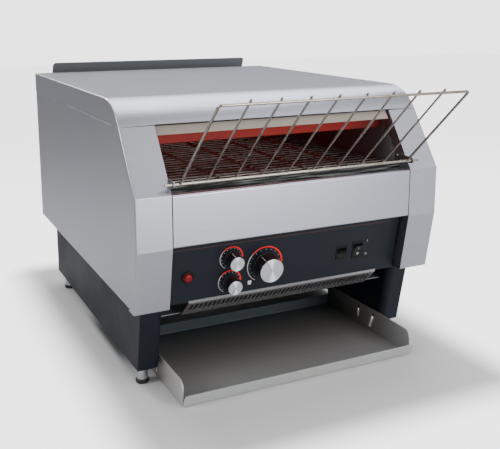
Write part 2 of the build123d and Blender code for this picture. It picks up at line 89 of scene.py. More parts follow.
def linearColour(hexCode):
    channels = [int(hexCode[i:i + 2], 16) / 255 for i in (1, 3, 5)]
    return [c / 12.92 if c <= 0.04045 else ((c + 0.055) / 1.055) ** 2.4 for c in channels] + [1.0]


def addNode(tree, kind, settings=None, inputs=None):
    node = tree.nodes.new(kind)
    for name, value in (settings or {}).items():
        setattr(node, name, value)
    for name, value in (inputs or {}).items():
        if isinstance(value, bpy.types.NodeSocket):
            tree.links.new(value, node.inputs[name])
        else:
            node.inputs[name].default_value = value
    return node


def newMaterial(name, constants):
    material = bpy.data.materials.new(name)
    material.use_nodes = True
    tree = material.node_tree
    shader = tree.nodes["Principled BSDF"]
    for socket, value in constants.items():
        shader.inputs[socket].default_value = value
    place = addNode(tree, "ShaderNodeTexCoord").outputs["Object"]   # metres in the object's frame
    return material, tree, shader, place


def lathe(profile, steps, origin, axis):
    # profile: (radius, height) pairs in metres, with a flat face at each end
    axis = Vector(axis).normalized()
    side = axis.orthogonal().normalized()
    other = axis.cross(side)
    verts, faces = [], []
    for radius, height in profile:
        for i in range(steps):
            a = 2 * pi * i / steps
            verts.append(Vector(origin) + axis * height + (side * cos(a) + other * sin(a)) * radius)
    for ring in range(len(profile) - 1):
        for i in range(steps):
            j = (i + 1) % steps
            here, above = ring * steps, (ring + 1) * steps
            faces.append((here + i, here + j, above + j, above + i))
    faces.append(tuple(reversed(range(steps))))
    faces.append(tuple(range((len(profile) - 1) * steps, len(profile) * steps)))
    return verts, faces


def tube(path, radius, sides, closed=False):
    path = [Vector(p) for p in path]
    count = len(path)
    verts, faces = [], []
    normal = None
    for i, point in enumerate(path):
        before = path[i - 1] if i or closed else path[0]
        after = path[(i + 1) % count] if i < count - 1 or closed else path[-1]
        along = (after - before).normalized()
        normal = along.orthogonal() if normal is None else normal - along * normal.dot(along)
        normal = normal.normalized()
        across = along.cross(normal)
        for k in range(sides):
            a = 2 * pi * k / sides
            verts.append(point + (normal * cos(a) + across * sin(a)) * radius)
    for i in range(count if closed else count - 1):
        for k in range(sides):
            a, b = i * sides, ((i + 1) % count) * sides
            faces.append((a + k, a + (k + 1) % sides, b + (k + 1) % sides, b + k))
    if not closed:
        faces.append(tuple(reversed(range(sides))))
        faces.append(tuple(range((count - 1) * sides, count * sides)))
    return verts, faces


def plate(outline, place, low, high):
    # outline: (u, v) points in metres; place(u, v, w) gives the point in the object's frame
    count = len(outline)
    verts = [place(u, v, low) for u, v in outline] + [place(u, v, high) for u, v in outline]
    sides = [(i, (i + 1) % count, count + (i + 1) % count, count + i) for i in range(count)]
    return verts, sides + [tuple(reversed(range(count))), tuple(range(count, 2 * count))]


def meshPiece(name, body, material, parts, sharpAngle=35):
    verts, faces = [], []
    for partVerts, partFaces in parts:
        start = len(verts)
        verts += [tuple(v) for v in partVerts]
        faces += [tuple(i + start for i in face) for face in partFaces]
    mesh = bpy.data.meshes.new(name)
    mesh.from_pydata(verts, [], faces)
    work = bmesh.new()
    work.from_mesh(mesh)
    bmesh.ops.recalc_face_normals(work, faces=work.faces)
    work.to_mesh(mesh)
    work.free()
    return placePiece(name, mesh, body, material, sharpAngle)


def placePiece(name, mesh, body, material, sharpAngle):
    # smooth shaded, apart from edges that bend by more than sharpAngle degrees
    mesh.polygons.foreach_set("use_smooth", [True] * len(mesh.polygons))
    mesh.set_sharp_from_angle(angle=radians(sharpAngle))
    mesh.materials.clear()
    mesh.materials.append(material)
    piece = bpy.data.objects.new(name, mesh)
    bpy.context.scene.collection.objects.link(piece)
    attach(piece, body)
    return piece


def softenedSheet(node, edge, relief=None):
    # the CAD form with slightly rounded cut edges, as deburred sheet has, and with its large faces kept flat
    # weld in metres, broadFace in square metres, angles in degrees
    form = {"weld": 2e-6, "coplanar": 0.3, "cutEdge": 28, "shallowFold": 8, "broadFace": 0.003,
            "segments": 2, "fullness": 0.7, "stillSharp": 50}
    work = bmesh.new()
    work.from_mesh(nodes[node].data)
    bmesh.ops.remove_doubles(work, verts=work.verts, dist=form["weld"])
    bmesh.ops.dissolve_limit(work, angle_limit=radians(form["coplanar"]), verts=work.verts,
                             edges=work.edges, delimit={"NORMAL"})

    def isCrease(line):
        if not line.is_manifold:
            return False
        bend, narrow = line.calc_face_angle(0), min(face.calc_area() for face in line.link_faces)
        return bend > radians(form["cutEdge"]) or (
            bend > radians(form["shallowFold"]) and narrow > form["broadFace"])

    bmesh.ops.bevel(work, geom=[line for line in work.edges if isCrease(line)], offset=edge,
                    segments=form["segments"], profile=form["fullness"], affect="EDGES", clamp_overlap=True)
    for vert in work.verts if relief else []:
        x, y, z = vert.co
        if z < relief["below"] and y < relief["ahead"] and abs(x) < relief["inside"]:
            vert.co += Vector(relief["move"]) * mm
    mesh = bpy.data.meshes.new(node + "Sheet")
    work.to_mesh(mesh)
    work.free()
    body, slot = nodes[node]["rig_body"], slotOf[node]
    piece = placePiece(node + "Sheet", mesh, body, finishes[slot], form["stillSharp"])
    piece.modifiers.new("flatFaces", "WEIGHTED_NORMAL").keep_sharp = True
    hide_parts(node)


# camera

# place in mm from the middle of the front face's foot, angles in degrees, focal length and axis row in pixels
view = {"place": (-575.2, -991.3, 563.8), "turn": 26.325, "tilt": 11.172, "focal": 776.4, "axisRow": 164.5,
        "width": 500, "height": 449, "sensor": 36.0, "nearest": 0.01}
camera = bpy.data.objects.new("mainCamera", bpy.data.cameras.new("mainCamera"))
bpy.context.scene.collection.objects.link(camera)
camera.location = (view["place"][0] * mm, view["place"][1] * mm + frontY, view["place"][2] * mm)
camera.rotation_euler = (radians(90 - view["tilt"]), 0, -radians(view["turn"]))
camera.data.sensor_width = view["sensor"]
camera.data.lens = view["focal"] / view["width"] * view["sensor"]
camera.data.shift_y = -(view["height"] / 2 - view["axisRow"]) / view["width"]
camera.data.clip_start = view["nearest"]
bpy.context.scene.camera = camera
print("camera set")


# materials

def brushedSteel(name, colour, grain, roughness, along="x", metallic=1.0, bump=0.04, paintedRearShade=None):
    # cold-rolled sheet brushed one way: fine parallel streaks, and a highlight smeared across them
    values = {"cloud": 6.0, "wear": 0.10, "shinier": 0.05, "duller": 0.07, "ridge": 0.4}
    material, tree, shader, place = newMaterial(name, {"Metallic": metallic, "Roughness": roughness})
    # real grit lines are 0.1 to 0.3 mm apart; drawn coarser so that they show
    fine, long = 1 / (grain["spacing"] * mm), 1 / (grain["length"] * mm)
    scale = {"x": (long, fine, fine), "y": (fine, long, fine)}[along]
    spread = addNode(tree, "ShaderNodeMapping", inputs={"Vector": place, "Scale": scale})
    streaks = addNode(tree, "ShaderNodeTexNoise", inputs={
        "Vector": spread.outputs["Vector"], "Scale": 1.0, "Detail": 3.0, "Roughness": 0.6})
    cloud = addNode(tree, "ShaderNodeTexNoise", inputs={
        "Vector": place, "Scale": values["cloud"], "Detail": 2.0})
    shade = addNode(tree, "ShaderNodeMix", {"data_type": "RGBA"}, {
        "Factor": streaks.outputs["Fac"], "A": linearColour(colour[0]), "B": linearColour(colour[1])})
    worn = addNode(tree, "ShaderNodeMix", {"data_type": "RGBA", "blend_type": "MULTIPLY"}, {
        "Factor": values["wear"], "A": shade.outputs["Result"], "B": cloud.outputs["Color"]})
    result = worn.outputs["Result"]
    if paintedRearShade:
        # painted shade: darker towards the back, where the housing shades the sheet
        behind = addNode(tree, "ShaderNodeSeparateXYZ", inputs={"Vector": place})
        rearShadeFactor = addNode(tree, "ShaderNodeMapRange", inputs={
            "Value": behind.outputs["Y"], "From Min": paintedRearShade["from"] * mm, "From Max": paintedRearShade["to"] * mm})
        paintedLight = addNode(tree, "ShaderNodeValToRGB", inputs={"Fac": rearShadeFactor.outputs["Result"]})
        stops = paintedLight.color_ramp.elements
        stops[0].color, stops[1].color = (1, 1, 1, 1), linearColour(paintedRearShade["rear"])
        stops.new(paintedRearShade["half"]).color = linearColour(paintedRearShade["middle"])
        result = addNode(tree, "ShaderNodeMix", {"data_type": "RGBA", "blend_type": "MULTIPLY"}, {
            "Factor": 1.0, "A": result, "B": paintedLight.outputs["Color"]}).outputs["Result"]
    tree.links.new(result, shader.inputs["Base Color"])
    gloss = addNode(tree, "ShaderNodeMapRange", inputs={
        "Value": streaks.outputs["Fac"], **noiseSpan,
        "To Min": roughness - values["shinier"], "To Max": roughness + values["duller"]})
    tree.links.new(gloss.outputs["Result"], shader.inputs["Roughness"])
    ridges = addNode(tree, "ShaderNodeBump", inputs={
        "Strength": bump, "Distance": values["ridge"] * mm, "Height": streaks.outputs["Fac"]})
    tree.links.new(ridges.outputs["Normal"], shader.inputs["Normal"])
    return material


def powderCoat(name, colour, roughness, pebble=0.9, bump=0.10, sheen=0.5, paintedStreaks=None):
    # baked powder paint: an even coat with a faint pebble that breaks up the gloss
    values = {"cloud": 9.0, "shinier": 0.05, "duller": 0.06, "pebbleHigh": 0.2}
    material, tree, shader, place = newMaterial(name, {
        "Roughness": roughness, "IOR": 1.5, "Specular IOR Level": sheen})
    grains = addNode(tree, "ShaderNodeTexNoise", inputs={
        "Vector": place, "Scale": 1 / (pebble * mm), "Detail": 2.0})
    cloud = addNode(tree, "ShaderNodeTexNoise", inputs={
        "Vector": place, "Scale": values["cloud"], "Detail": 3.0})
    shade = addNode(tree, "ShaderNodeMix", {"data_type": "RGBA"}, {
        "Factor": cloud.outputs["Fac"], "A": linearColour(colour[0]), "B": linearColour(colour[1])})
    result = shade.outputs["Result"]
    if paintedStreaks:
        # painted reflection: long pale streaks along the sheet over the dark paint, standing in for
        # highlights on the glossy enamel
        stretch = addNode(tree, "ShaderNodeMapping", inputs={
            "Vector": place, "Scale": [1 / (paintedStreaks[side] * mm) for side in ("long", "short", "short")]})
        wearAndStreaks = addNode(tree, "ShaderNodeTexNoise", inputs={
            "Vector": stretch.outputs["Vector"], "Scale": 1.0, "Detail": 2.0})
        paintedLight = addNode(tree, "ShaderNodeMapRange", inputs={
            "Value": wearAndStreaks.outputs["Fac"], "From Min": paintedStreaks["thin"], "From Max": paintedStreaks["full"]})
        result = addNode(tree, "ShaderNodeMix", {"data_type": "RGBA"}, {
            "Factor": paintedLight.outputs["Result"], "A": result,
            "B": linearColour(paintedStreaks["pale"])}).outputs["Result"]
    tree.links.new(result, shader.inputs["Base Color"])
    gloss = addNode(tree, "ShaderNodeMapRange", inputs={
        "Value": cloud.outputs["Fac"], **noiseSpan,
        "To Min": roughness - values["shinier"], "To Max": roughness + values["duller"]})
    tree.links.new(gloss.outputs["Result"], shader.inputs["Roughness"])
    skin = addNode(tree, "ShaderNodeBump", inputs={
        "Strength": bump, "Distance": values["pebbleHigh"] * mm, "Height": grains.outputs["Fac"]})
    tree.links.new(skin.outputs["Normal"], shader.inputs["Normal"])
    return material


def mouldedPlastic(name, colour, roughness, grain=0.5, bump=0.06, sheen=0.5):
    # injection-moulded part: a fine spark-eroded grain, edges a touch lighter with handling
    values = {"flat": 0.5, "edge": 0.62, "rubbedOff": 0.6, "glossRange": 0.06, "grainHigh": 0.2}
    material, tree, shader, place = newMaterial(name, {
        "Roughness": roughness, "IOR": 1.49, "Specular IOR Level": sheen})
    grains = addNode(tree, "ShaderNodeTexNoise", inputs={
        "Vector": place, "Scale": 1 / (grain * mm), "Detail": 3.0})
    edges = addNode(tree, "ShaderNodeNewGeometry")
    wearAndStreaks = addNode(tree, "ShaderNodeMapRange", inputs={
        "Value": edges.outputs["Pointiness"], "From Min": values["flat"], "From Max": values["edge"],
        "To Max": values["rubbedOff"]})
    shade = addNode(tree, "ShaderNodeMix", {"data_type": "RGBA"}, {
        "Factor": wearAndStreaks.outputs["Result"], "A": linearColour(colour[0]), "B": linearColour(colour[1])})
    tree.links.new(shade.outputs["Result"], shader.inputs["Base Color"])
    gloss = addNode(tree, "ShaderNodeMapRange", inputs={
        "Value": grains.outputs["Fac"], **noiseSpan,
        "To Min": roughness - values["glossRange"], "To Max": roughness + values["glossRange"]})
    tree.links.new(gloss.outputs["Result"], shader.inputs["Roughness"])
    skin = addNode(tree, "ShaderNodeBump", inputs={
        "Strength": bump, "Distance": values["grainHigh"] * mm, "Height": grains.outputs["Fac"]})
    tree.links.new(skin.outputs["Normal"], shader.inputs["Normal"])
    return material


def platedWire(name, colour, roughness, marks):
    # nickel-chrome plated drawn wire: bright, with faint draw marks and dull spots
    values = {"spotsFrom": 0.35, "spotsTo": 0.75, "shinier": 0.06, "duller": 0.15}
    material, tree, shader, place = newMaterial(name, {"Metallic": 1.0, "Roughness": roughness})
    spots = addNode(tree, "ShaderNodeTexNoise", inputs={
        "Vector": place, "Scale": 1 / (marks * mm), "Detail": 4.0})
    shade = addNode(tree, "ShaderNodeMix", {"data_type": "RGBA"}, {
        "Factor": spots.outputs["Fac"], "A": linearColour(colour[0]), "B": linearColour(colour[1])})
    tree.links.new(shade.outputs["Result"], shader.inputs["Base Color"])
    gloss = addNode(tree, "ShaderNodeMapRange", inputs={
        "Value": spots.outputs["Fac"], "From Min": values["spotsFrom"], "From Max": values["spotsTo"],
        "To Min": roughness - values["shinier"], "To Max": roughness + values["duller"]})
    tree.links.new(gloss.outputs["Result"], shader.inputs["Roughness"])
    return material


def spunAluminium(name, jointName):
    # turned aluminium disc: fine rings round the knob's own axis throw two bright wedges
    values = {"colour": ("#F0F1F5", "#D2D4DA"), "ring": 0.5, "roughness": 0.34, "wedge": 0.92}
    material, tree, shader, place = newMaterial(name, {
        "Metallic": 1.0, "Roughness": values["roughness"], "Anisotropic": values["wedge"]})
    spoke = addNode(tree, "ShaderNodeVectorMath", {"operation": "SUBTRACT"}, {
        0: place, 1: Vector(joints[jointName]["pos_m"])})
    # highlights smear across the rings, so the tangent points outwards
    tree.links.new(spoke.outputs["Vector"], shader.inputs["Tangent"])
    reach = addNode(tree, "ShaderNodeVectorMath", {"operation": "LENGTH"}, {0: spoke.outputs["Vector"]})
    rings = addNode(tree, "ShaderNodeTexNoise", {"noise_dimensions": "1D"}, {
        "W": reach.outputs["Value"], "Scale": 1 / (values["ring"] * mm), "Detail": 2.0})
    shade = addNode(tree, "ShaderNodeMix", {"data_type": "RGBA"}, {
        "Factor": rings.outputs["Fac"], "A": linearColour(values["colour"][0]),
        "B": linearColour(values["colour"][1])})
    tree.links.new(shade.outputs["Result"], shader.inputs["Base Color"])
    return material


def heaterTube(name, power, hot, dim):
    # quartz heater tube: the coil shows through the clear tube, orange-red where it is lit
    values = {"coil": 1.4, "waveFactor": 20}      # the wave texture's own factor on the place
    material, tree, shader, place = newMaterial(name, {"Roughness": 0.2, "IOR": 1.46})
    turns = addNode(tree, "ShaderNodeTexWave", {"bands_direction": "X"}, {
        "Vector": place, "Scale": 1 / (values["coil"] * mm * values["waveFactor"])})
    shade = addNode(tree, "ShaderNodeMix", {"data_type": "RGBA"}, {
        "Factor": turns.outputs["Fac"], "A": linearColour(dim), "B": linearColour(hot)})
    tree.links.new(shade.outputs["Result"], shader.inputs["Base Color"])
    tree.links.new(shade.outputs["Result"], shader.inputs["Emission Color"])
    shader.inputs["Emission Strength"].default_value = power
    return material


def litReflector(name, power, steel):
    # bright steel reflector with a painted dark red glow, and steel tinted dark red, where it faces the
    # heaters: it stands in for their light thrown back
    values = {"glow": ("#E2120A", "#8E0C14"), "cloud": 14.0,
              "coolFrom": 0.13, "coolTo": 0.20, "coolEnd": 0.25}
    material, tree, shader, place = newMaterial(name, {"Metallic": 0.8, "Roughness": 0.4})
    cloud = addNode(tree, "ShaderNodeTexNoise", inputs={
        "Vector": place, "Scale": values["cloud"], "Detail": 2.0})
    shade = addNode(tree, "ShaderNodeMix", {"data_type": "RGBA"}, {
        "Factor": cloud.outputs["Fac"], "A": linearColour(steel[0]), "B": linearColour(steel[1])})
    tree.links.new(shade.outputs["Result"], shader.inputs["Base Color"])
    glow = addNode(tree, "ShaderNodeMix", {"data_type": "RGBA"}, {
        "Factor": cloud.outputs["Fac"], "A": linearColour(values["glow"][0]),
        "B": linearColour(values["glow"][1])})
    tree.links.new(glow.outputs["Result"], shader.inputs["Emission Color"])
    along = addNode(tree, "ShaderNodeSeparateXYZ", inputs={"Vector": place})
    # the painted glow fades towards the tubes' cooler terminal end
    heat = addNode(tree, "ShaderNodeMapRange", {"interpolation_type": "SMOOTHSTEP"}, {
        "Value": along.outputs["X"], "From Min": values["coolFrom"], "From Max": values["coolTo"],
        "To Min": power, "To Max": power * values["coolEnd"]})
    tree.links.new(heat.outputs["Result"], shader.inputs["Emission Strength"])
    return material


def printedInk(name, colour):
    # screen-printed ink: a thin, slightly uneven film
    values = {"mottle": 0.8}
    material, tree, shader, place = newMaterial(name, {"Roughness": 0.5, "IOR": 1.5})
    mottle = addNode(tree, "ShaderNodeTexNoise", inputs={
        "Vector": place, "Scale": 1 / (values["mottle"] * mm), "Detail": 2.0})
    shade = addNode(tree, "ShaderNodeMix", {"data_type": "RGBA"}, {
        "Factor": mottle.outputs["Fac"], "A": linearColour(colour[0]), "B": linearColour(colour[1])})
    tree.links.new(shade.outputs["Result"], shader.inputs["Base Color"])
    return material


def dialInk(name, centre, up, start, end):
    # one ring, printed from white at the low end to full red at the high end
    values = {"white": (0.34, "#B4B3B4"), "warm": (0.44, "#D8503C"), "red": (0.54, "#E60C06")}
    material, tree, shader, place = newMaterial(name, {
        "Roughness": 0.45, "IOR": 1.5, "Specular IOR Level": 0.2})
    spoke = addNode(tree, "ShaderNodeVectorMath", {"operation": "SUBTRACT"}, {0: place, 1: centre})
    across = addNode(tree, "ShaderNodeSeparateXYZ", inputs={"Vector": spoke.outputs["Vector"]})
    rise = addNode(tree, "ShaderNodeVectorMath", {"operation": "DOT_PRODUCT"}, {
        0: spoke.outputs["Vector"], 1: up})
    clock = addNode(tree, "ShaderNodeMath", {"operation": "ARCTAN2"}, {
        0: across.outputs["X"], 1: rise.outputs["Value"]})
    heat = addNode(tree, "ShaderNodeMapRange", inputs={
        "Value": clock.outputs["Value"], "From Min": radians(start), "From Max": radians(end)})
    ramp = addNode(tree, "ShaderNodeValToRGB", inputs={"Fac": heat.outputs["Result"]})
    stops = ramp.color_ramp.elements
    stops.new(values["warm"][0])
    for stop, (share, colour) in zip(stops, values.values()):
        stop.position, stop.color = share, linearColour(colour)
    tree.links.new(ramp.outputs["Color"], shader.inputs["Base Color"])
    return material


finishes = {
    "brushed_casing": brushedSteel("brushedStainlessSheet", ("#BBBDC9", "#ACAEBA"),
                                   {"spacing": 1.1, "length": 90}, 0.32),
    "dark_base": powderCoat("graphitePowderCoat", ("#0C1019", "#141A25"), 0.5, sheen=0.22),
    "panel_enamel": powderCoat("satinBlackPanelCoat", ("#0B1018", "#101622"), 0.42, pebble=0.5, bump=0.05,
                               sheen=0.26),
    "dark_steel": powderCoat("darkGreyDeflectorCoat", ("#5E6265", "#6A6D70"), 0.5),
    "perforated_steel": brushedSteel("punchedGrilleSteel", ("#B9B7BB", "#9B999D"),
                                     {"spacing": 0.8, "length": 30}, 0.40, bump=0.06),
    "trim_steel": powderCoat("heatProofWarmGreyCoat", ("#A0968B", "#8C8277"), 0.5),
    # painted pale streaks stand in for reflections on the glossy guard
    "guard_steel": powderCoat("glossDarkGuardEnamel", ("#080A09", "#111312"), 0.14, pebble=1.2, bump=0.02,
                              sheen=0.16, paintedStreaks={"long": 70.0, "short": 3.5, "thin": 0.48, "full": 0.68,
                                                 "pale": "#6E7470"}),
    # painted glow on the reflector, standing in for the heaters' light thrown back
    "reflector_steel": litReflector("reflectorSteelPaintedGlow", 0.36, ("#34160F", "#241010")),
    "galvanised_frame": brushedSteel("galvanisedFrameSheet", ("#7A7E80", "#666A6C"),
                                     {"spacing": 5.0, "length": 9.0}, 0.48, metallic=0.35, bump=0.03),
    # painted shade: the chute sheet is coloured far darker than bare steel, as it lies in shade
    "chute_steel": brushedSteel("chuteSheet", ("#2C2F30", "#202324"),
                                {"spacing": 1.0, "length": 60}, 0.42, along="y"),
    # the pan sheet, with painted shade towards the back where the housing shades it
    "pan_steel": brushedSteel("panStainlessSheet", ("#DADDE0", "#C8CCCF"),
                              {"spacing": 1.1, "length": 80}, 0.48, metallic=0.45,
                              paintedRearShade={"from": -400, "to": -28, "half": 0.6, "middle": "#C2B9B2",
                                      "rear": "#3C4448"}),
    "rack_wire": platedWire("nickelPlatedRackWire", ("#A8A098", "#958D86"), 0.24, 14.0),
    "bracket_steel": brushedSteel("bracketStrip", ("#9A9A9C", "#858587"),
                                  {"spacing": 0.6, "length": 12}, 0.35),
    "belt_wire": platedWire("heatTintedBeltWire", ("#958D87", "#7C746E"), 0.33, 12.0),
    "shaft_steel": brushedSteel("groundShaftSteel", ("#A5A7AA", "#8F9194"),
                                {"spacing": 0.5, "length": 4}, 0.25),
    "wheel_steel": brushedSteel("stampedWheelSteel", ("#8B8987", "#737170"),
                                {"spacing": 0.6, "length": 8}, 0.38),
    "bearing_bronze": brushedSteel("sinteredBronze", ("#A07C48", "#86673A"),
                                   {"spacing": 0.8, "length": 0.9}, 0.45),
    "element_sheath": heaterTube("litQuartzHeaterTube", 0.4, "#D23418", "#7E180A"),
    "mineral_wool": powderCoat("mineralWoolBoard", ("#9A8F72", "#B3A888"), 0.9, pebble=1.5, bump=0.6),
    "foot_metal": platedWire("chromedFootTurning", ("#C9CBCF", "#A9ABAF"), 0.16, 5.0),
    "foot_rubber": mouldedPlastic("blackFootRubber", ("#141516", "#26282A"), 0.62, grain=0.8, bump=0.15),
    "knob_black": mouldedPlastic("blackKnobPhenolic", ("#111214", "#2B2D31"), 0.34, bump=0.05),
    "knob_aluminium": spunAluminium("spunAluminiumCap", "speed_knob_turn"),
    "control_metal": brushedSteel("zincPlatedControl", ("#A5A390", "#8D8B7C"),
                                  {"spacing": 0.6, "length": 3}, 0.35),
    "button_red": mouldedPlastic("clearRedLens", ("#74060A", "#8A0A0E"), 0.34, bump=0.01, sheen=0.3),
    "bezel_black": mouldedPlastic("glossBlackBezel", ("#090A0B", "#17191B"), 0.25, bump=0.03, sheen=0.25),
    "switch_black": mouldedPlastic("blackSwitchNylon", ("#08090B", "#15171A"), 0.40, sheen=0.2),
    "rocker_green": mouldedPlastic("greenSwitchLens", ("#050F0A", "#0A2217"), 0.30, bump=0.02, sheen=0.25),
    "rocker_black": mouldedPlastic("blackRockerNylon", ("#0A0B0D", "#1A1C1F"), 0.34, sheen=0.3),
    "gland_plastic": mouldedPlastic("blackGlandNylon", ("#151617", "#2A2C2E"), 0.42),
    "fan_plastic": mouldedPlastic("fanFramePlastic", ("#131415", "#242628"), 0.45),
    "rotor_plastic": mouldedPlastic("fanBladePlastic", ("#17181A", "#2A2C2F"), 0.38),
    "gearbox_casting": powderCoat("dieCastZincSkin", ("#7E8386", "#6B7073"), 0.5, pebble=1.2, bump=0.25),
    "motor_steel": powderCoat("blackMotorEnamel", ("#1C1E20", "#27292C"), 0.38),
    "contactor_plastic": mouldedPlastic("greyContactorNylon", ("#6D7073", "#85888B"), 0.48),
    "terminal_plastic": mouldedPlastic("creamTerminalCeramic", ("#C9BFA0", "#D9D0B6"), 0.40),
    "board_laminate": mouldedPlastic("greenBoardLaminate", ("#124226", "#1E6A3E"), 0.35),
}
whiteInk = printedInk("whitePanelInk", ("#DADADA", "#C4C4C6"))
redLineInk = printedInk("dullRedPanelInk", ("#3C161B", "#301216"))
greyInk = printedInk("greyPanelInk", ("#A2A4A8", "#8E9094"))
darkInk = printedInk("charcoalPointerInk", ("#3A3B3E", "#303134"))
zincScrew = brushedSteel("zincPlatedScrew", ("#B5B6B8", "#9A9B9D"), {"spacing": 0.4, "length": 2.0}, 0.30)

for node, slotName in slotOf.items():
    nodes[node].data.materials.clear()
    nodes[node].data.materials.append(finishes[slotName])
# painted shade: the lower heaters and their reflector, under the belt, get darker copies of the lit materials
# that hardly glow
shaded = {"lower_reflector": litReflector("shadedReflectorSteel", 0.02, ("#55504B", "#3B3733")),
          "lower_heating_elements": heaterTube("shadedHeaterTube", 0.02, "#3A2A26", "#2A1612")}
for node, material in shaded.items():
    nodes[node].data.materials[0] = material
for knob in ("top_heat_knob", "bottom_heat_knob"):
    nodes[knob + "_cap"].data.materials[0] = spunAluminium(knob + "CapDisc", knob + "_turn")
print("materials made:", len(bpy.data.materials))


# casing with softened edges

edgeRound = {"top_cover": 0.25, "left_side_panel": 0.25, "right_side_panel": 0.25, "front_panel": 0.5,
             "rear_deflector": 0.45, "toast_pan": 0.45, "left_base_side": 0.5, "right_base_side": 0.5,
             "control_panel": 0.3, "rear_panel": 0.3, "base_rear": 0.4, "rear_chute": 0.4}
# the cover's front edge stands clear of the columns, so the seam reads as a dark line
seamRelief = {"below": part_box("top_cover")[0].z + 0.6 * mm, "ahead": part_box("mouth_trim")[1].y,
              "inside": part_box("top_cover")[1].x - 2.2 * mm, "move": (0.0, 0.5, 0.7)}
for node, edge in edgeRound.items():
    softenedSheet(node, edge * mm, seamRelief if node == "top_cover" else None)
print("sheet edges softened")


# wire belt

def wireBelt():
    # each strand runs across the belt and hooks round its neighbour at the link rows
    belt = {"strands": 60, "wire": 0.95, "rows": (-190, -114, -38, 38, 114, 190), "hook": 2.6, "half": 195.5,
            "loopRadius": 21.3}
    # one hook: hook widths to the side, and pitches towards the next strand
    hookPath = ((-1, 0.0), (-1, 0.25), (-1, 0.8), (-0.7, 1.1), (0.7, 1.1), (1, 0.8), (1, 0.25), (1, 0.0))
    front = Vector(joints["front_shaft_turn"]["pos_m"])
    rear = Vector(joints["rear_shaft_turn"]["pos_m"])
    radius = belt["loopRadius"] * mm
    run = rear.y - front.y
    length = 2 * run + 2 * pi * radius
    pitch = length / belt["strands"]

    def onLoop(x, s):
        # s: metres along the loop, from above the front shaft
        s = s % length
        if s < run:
            return Vector((x, front.y + s, front.z + radius))
        if s < run + pi * radius:
            a = (s - run) / radius
            return Vector((x, rear.y + radius * sin(a), rear.z + radius * cos(a)))
        if s < 2 * run + pi * radius:
            return Vector((x, rear.y - (s - run - pi * radius), rear.z - radius))
        a = (s - 2 * run - pi * radius) / radius
        return Vector((x, front.y - radius * sin(a), front.z - radius * cos(a)))

    strands = []
    for i in range(belt["strands"]):
        s = i * pitch
        points = [onLoop(-belt["half"] * mm, s)]
        for row in belt["rows"]:
            points += [onLoop((row + side * belt["hook"]) * mm, s + reach * pitch)
                       for side, reach in hookPath]
        points.append(onLoop(belt["half"] * mm, s))
        strands.append(tube(points, belt["wire"] * mm, sides=6))
    piece = meshPiece("wireBelt", "toaster", finishes["belt_wire"], strands, sharpAngle=50)
    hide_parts("conveyor_belt")


wireBelt()
print("belt made")


# printing on the control panel

inkFilm = {"foot": -0.05 * mm, "face": 0.15 * mm, "thinFace": 0.12 * mm}    # heights above the panel


def panelPlace(jointName):
    centre = Vector(joints[jointName]["pos_m"])
    out = -Vector(joints[jointName]["axis"])
    right = Vector((1, 0, 0))
    up = out.cross(right)
    return lambda u, v, w: centre + right * u + up * v + out * w


def clockPoint(radius, angle):
    return radius * sin(radians(angle)), radius * cos(radians(angle))


def dialRing(name, jointName, radius, thin, thick, start, end):
    ring = {"steps": 72, "swell": 1.3}            # the width grows by this power of the turn
    place = panelPlace(jointName)
    verts, faces = [], []
    for i in range(ring["steps"] + 1):
        t = i / ring["steps"]
        angle = start + (end - start) * t
        width = thin + (thick - thin) * t ** ring["swell"]
        inner = clockPoint((radius - width) * mm, angle)
        outer = clockPoint(radius * mm, angle)
        verts += [place(*inner, inkFilm["foot"]), place(*outer, inkFilm["foot"]),
                  place(*outer, inkFilm["face"]), place(*inner, inkFilm["face"])]
    for i in range(ring["steps"]):
        a, b = 4 * i, 4 * i + 4
        faces += [(a + k, a + (k + 1) % 4, b + (k + 1) % 4, b + k) for k in range(4)]
    last = 4 * ring["steps"]
    faces += [(3, 2, 1, 0), (last, last + 1, last + 2, last + 3)]
    ink = dialInk(name + "Ink", place(0, 0, 0), place(0, 1, 0) - place(0, 0, 0), start, end)
    meshPiece(name, "toaster", ink, [(verts, faces)])


def dialTicks(name, jointName, radius, length, count, start, end):
    place = panelPlace(jointName)
    half = 0.38 * mm                              # half of a tick's width
    ticks = []
    for i in range(count):
        angle = radians(start + (end - start) * i / (count - 1))
        corners = []
        for r, side in ((radius - length, -half), (radius, -half), (radius, half), (radius - length, half)):
            corners.append((r * mm * sin(angle) + side * cos(angle), r * mm * cos(angle) - side * sin(angle)))
        ticks.append(plate(corners, place, inkFilm["foot"], inkFilm["face"]))
    meshPiece(name, "toaster", greyInk, ticks)


heatDial = {"radius": 19.4, "thin": 0.9, "thick": 2.2, "tick": 16.6, "tickLength": 1.5, "ticks": 11}
dials = {"speed": {"radius": 30.5, "thin": 1.1, "thick": 2.9, "tick": 26.3, "tickLength": 1.8, "ticks": 12},
         "top_heat": heatDial, "bottom_heat": heatDial}
sweep = {"ring": (-150, 92), "ticks": (-140, 80)}       # degrees from twelve o'clock
for dial, size in dials.items():
    joint = dial + "_knob_turn"
    dialRing(dial + "Ring", joint, size["radius"], size["thin"], size["thick"], *sweep["ring"])
    dialTicks(dial + "Ticks", joint, size["tick"], size["tickLength"], size["ticks"], *sweep["ticks"])


def arcPoints(u, v, radius, start, end, steps):
    # degrees from twelve o'clock
    turns = [start + (end - start) * i / steps for i in range(steps + 1)]
    return [(u + radius * sin(radians(turn)), v + radius * cos(radians(turn))) for turn in turns]


def inkPlate(outline, place, low, high):
    # outline in millimetres
    return plate([(u * mm, v * mm) for u, v in outline], place, low, high)


def bar(left, right, low, high):
    return [(left, low), (right, low), (right, high), (left, high)]


